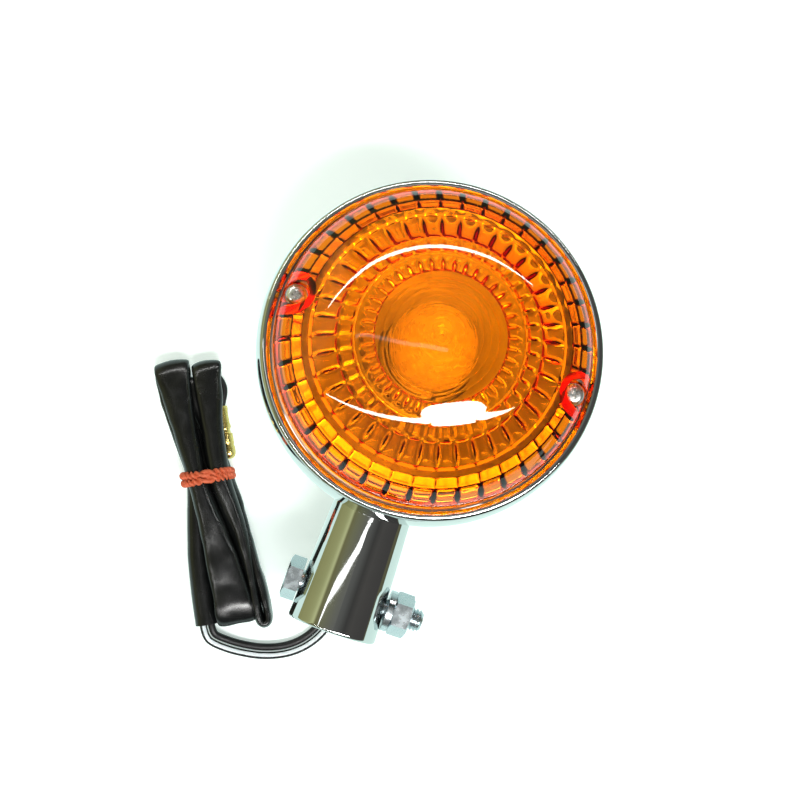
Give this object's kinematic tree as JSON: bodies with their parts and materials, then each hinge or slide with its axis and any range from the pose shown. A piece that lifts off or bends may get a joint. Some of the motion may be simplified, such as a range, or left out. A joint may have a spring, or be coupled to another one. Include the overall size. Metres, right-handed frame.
{
  "type": "turn signal indicator",
  "caption": "Round motorcycle turn signal: chromed bowl on a hollow stalk with a cross bolt, amber ringed lens, bayonet bulb and a folded lead with bullet terminals.",
  "frame": {"origin": "centre of the bowl's flat back, on the lens axis", "axes": "+Z along the lens axis, out of the lens; the stalk points along -Y; the two lens screws stand on the X axis and the cross bolt runs along X, nut on +X"},
  "size_m": [0.1145, 0.1364, 0.0666],
  "materials": {
    "chrome": "bright plated",
    "amber_lens": "clear moulded amber",
    "zinc_plate": "bright zinc plated",
    "lens_screw_steel": "nickel plated",
    "bright_reflector": "vacuum metallised",
    "plain_steel": "zinc plated sheet",
    "spring_steel": "spring wire",
    "black_rubber": "matt moulded",
    "cream_rubber": "moulded flat gasket",
    "red_rubber": "twisted rubber band",
    "brass": "bright stamped",
    "bulb_cap_metal": "nickel plated brass",
    "solder": "soft solder",
    "bulb_glass": "clear blown",
    "black_glass": "vitrified insulator",
    "tungsten": "drawn wire",
    "brown_fibre": "laminated fibre",
    "black_sleeve": "soft glossy PVC",
    "black_wire": "PVC insulation",
    "striped_wire": "PVC insulation with a pale stripe"
  },
  "bodies": {
    "root": {"housing_bowl": "chrome", "stalk": "chrome", "screw_post_left": "plain_steel", "screw_post_right": "plain_steel", "reflector": "bright_reflector", "lens_gasket": "cream_rubber", "socket_shell": "plain_steel", "ground_terminal": "brass", "socket_rivets": "plain_steel", "contact_spring": "spring_steel", "saddle_plate": "plain_steel", "stalk_lock_nut": "zinc_plate", "wire_grommet": "black_rubber", "live_wire_inner": "black_wire", "ground_wire_inner": "striped_wire", "live_wire": "black_wire", "ground_wire": "striped_wire", "live_tail": "black_wire", "ground_tail": "black_wire", "live_bullet": "brass", "ground_bullet": "brass", "wiring_sleeve": "black_sleeve", "rubber_band": "red_rubber"},
    "lens": {"lens": "amber_lens"},
    "washer_left": {"lens_washer_left": "plain_steel"},
    "screw_left": {"lens_screw_left": "lens_screw_steel"},
    "washer_right": {"lens_washer_right": "plain_steel"},
    "screw_right": {"lens_screw_right": "lens_screw_steel"},
    "contact": {"contact_plunger": "brown_fibre", "contact_tip": "brass"},
    "bulb": {"bulb_base": "bulb_cap_metal", "bulb_insulator": "black_glass", "bulb_contact": "solder", "bulb_glass": "bulb_glass", "bulb_stem": "bulb_glass", "filament_posts": "tungsten", "bulb_filament": "tungsten"},
    "bolt": {"clamp_bolt": "zinc_plate"},
    "nut_washer": {"spring_washer": "zinc_plate"},
    "nut": {"clamp_nut": "zinc_plate"}
  },
  "joints": [
    {"name": "lens_lift", "type": "slide", "parent": "root", "child": "lens", "axis": [0, 0, 1], "range_m": [0, 0.06]},
    {"name": "screw_left_rise", "type": "slide", "parent": "lens", "child": "washer_left", "axis": [0, 0, 1], "range_m": [0, 0.01]},
    {"name": "screw_left_turn", "type": "hinge", "parent": "washer_left", "child": "screw_left", "pos_m": [-0.036, 0, 0.049], "axis": [0, 0, 1], "range_deg": [0, 7272]},
    {"name": "screw_right_rise", "type": "slide", "parent": "lens", "child": "washer_right", "axis": [0, 0, 1], "range_m": [0, 0.01]},
    {"name": "screw_right_turn", "type": "hinge", "parent": "washer_right", "child": "screw_right", "pos_m": [0.036, 0, 0.049], "axis": [0, 0, 1], "range_deg": [0, 7272]},
    {"name": "contact_press", "type": "slide", "parent": "root", "child": "contact", "axis": [0, 0, -1], "range_m": [0, 0.0015], "stiffness_N_per_m": 1500, "springref_m": -0.002, "deforming": ["contact_spring"]},
    {"name": "bulb_turn", "type": "hinge", "parent": "contact", "child": "bulb", "pos_m": [0, 0, 0.0265], "axis": [0, 0, 1], "range_deg": [0, 25]},
    {"name": "nut_washer_slide", "type": "slide", "parent": "root", "child": "nut_washer", "axis": [1, 0, 0], "range_m": [0, 0.012]},
    {"name": "nut_turn", "type": "hinge", "parent": "nut_washer", "child": "nut", "pos_m": [0.0159, -0.0656, 0.024], "axis": [1, 0, 0], "range_deg": [0, 4363.2]},
    {"name": "bolt_pull", "type": "slide", "parent": "root", "child": "bolt", "axis": [-1, 0, 0], "range_m": [0, 0.04]}
  ],
  "couplings": [
    {"joint": "screw_left_turn", "follows": "screw_left_rise", "rad_per_m": 12566},
    {"joint": "screw_right_turn", "follows": "screw_right_rise", "rad_per_m": 12566},
    {"joint": "nut_turn", "follows": "nut_washer_slide", "rad_per_m": 6283.2}
  ]
}
